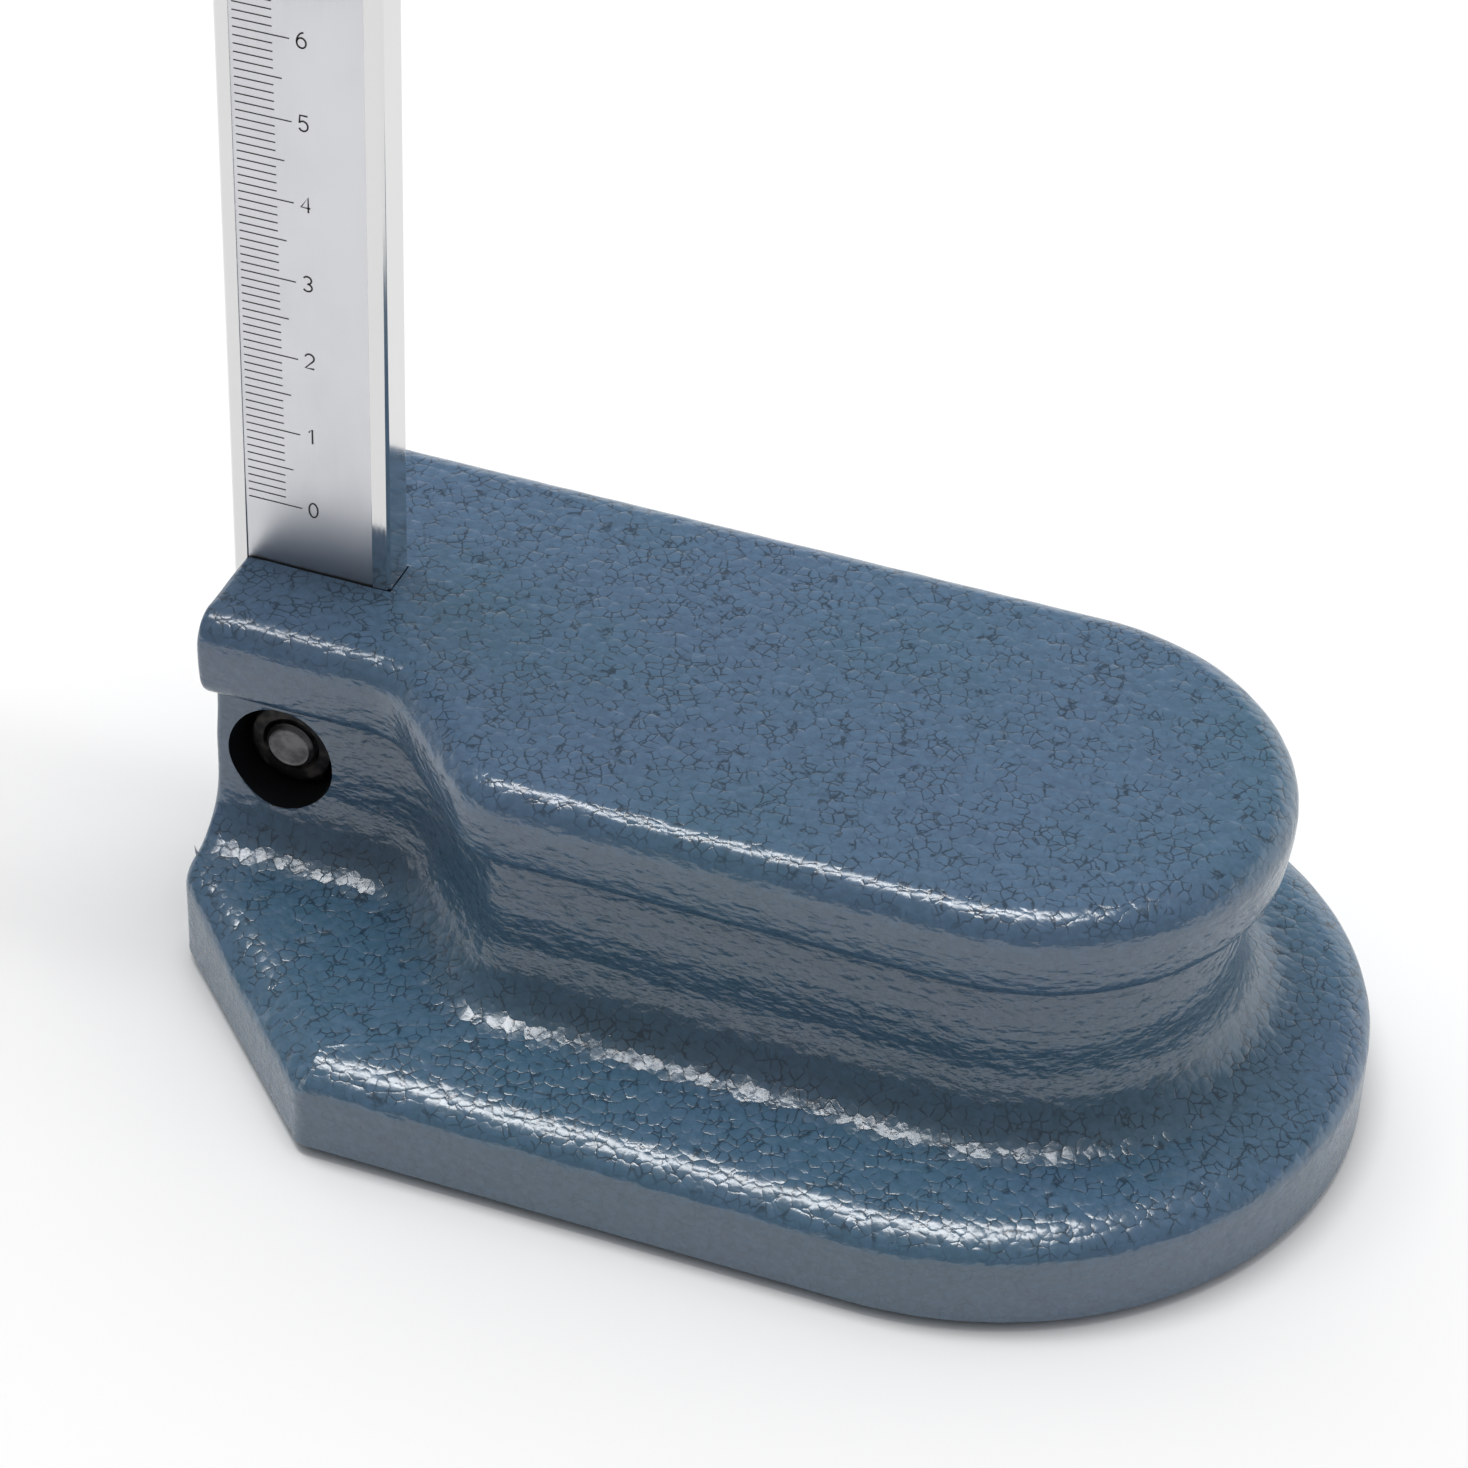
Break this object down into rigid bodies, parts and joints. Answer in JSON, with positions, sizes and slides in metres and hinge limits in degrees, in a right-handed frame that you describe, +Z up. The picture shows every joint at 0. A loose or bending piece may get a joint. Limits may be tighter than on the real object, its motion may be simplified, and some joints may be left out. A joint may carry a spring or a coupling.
{
  "type": "surface gauge",
  "caption": "Surface gauge: cast-iron base, upright graduated beam, and a sliding vernier head with fine feed, carrying a clamped scriber for marking heights.",
  "frame": {"origin": "on the sole, where the beam's axis meets the plane of the beam's front face", "axes": "+Z up along the beam, +X along the base towards its round end, +Y towards the rear; the scale faces -Y and the scriber points to -X"},
  "size_m": [0.2183, 0.0892, 0.4454],
  "materials": {
    "enamel": "blue-grey hammered enamel on cast iron, glossy",
    "beam_steel": "ground steel with a satin scale face and bright lands",
    "satin_steel": "satin chromed steel",
    "vernier_steel": "fine matt chromed steel with dark graduations",
    "dark_steel": "blackened steel",
    "tool_steel": "ground hardened steel",
    "brass": "plain worked brass",
    "carbide": "ground carbide, dark grey"
  },
  "bodies": {
    "base": {"base_casting": "enamel", "beam": "beam_steel", "clamp_bolt": "dark_steel", "clamp_washer": "dark_steel", "clamp_nut": "dark_steel", "beam_stop_screw": "dark_steel"},
    "carriage": {"feed_carriage": "satin_steel", "carriage_gib": "brass"},
    "carriage_lock": {"carriage_lock_screw": "satin_steel"},
    "nut": {"feed_nut": "satin_steel"},
    "slider": {"slider_frame": "satin_steel", "slider_gib": "brass", "gib_set_screws": "dark_steel", "vernier_plate": "vernier_steel", "vernier_screws": "dark_steel", "feed_spindle": "tool_steel", "spindle_set_screw": "dark_steel"},
    "slider_lock": {"slider_lock_screw": "satin_steel"},
    "shackle": {"scriber_shackle": "satin_steel"},
    "shackle_lock": {"shackle_screw": "satin_steel"},
    "scriber": {"scriber": "tool_steel", "scriber_tip": "carbide"}
  },
  "joints": [
    {"name": "carriage_travel", "type": "slide", "parent": "base", "child": "carriage", "axis": [0, 0, 1], "range_m": [-0.146, 0.15]},
    {"name": "fine_feed", "type": "slide", "parent": "carriage", "child": "slider", "axis": [0, 0, 1], "range_m": [-0.004, 0.004]},
    {"name": "feed_nut_turn", "type": "hinge", "parent": "carriage", "child": "nut", "pos_m": [-0.01755, 0.0026, 0.2744], "axis": [0, 0, 1], "range_deg": [-1800, 1800]},
    {"name": "carriage_lock_turn", "type": "hinge", "parent": "carriage", "child": "carriage_lock", "pos_m": [0.017, 0.0026, 0.2744], "axis": [1, 0, 0], "range_deg": [0, 720]},
    {"name": "slider_lock_turn", "type": "hinge", "parent": "slider", "child": "slider_lock", "pos_m": [0.017, 0.0026, 0.2244], "axis": [1, 0, 0], "range_deg": [0, 720]},
    {"name": "shackle_travel", "type": "slide", "parent": "slider", "child": "shackle", "axis": [1, 0, 0], "range_m": [-0.008, 0.0045]},
    {"name": "shackle_screw_turn", "type": "hinge", "parent": "shackle", "child": "shackle_lock", "pos_m": [-0.03845, 0.0026, 0.18], "axis": [0, 0, 1], "range_deg": [0, 1080]},
    {"name": "scriber_travel", "type": "slide", "parent": "slider", "child": "scriber", "axis": [1, 0, 0], "range_m": [-0.006, 0.012]}
  ],
  "couplings": [
    {"joint": "feed_nut_turn", "follows": "fine_feed", "rad_per_m": -7853.9}
  ]
}
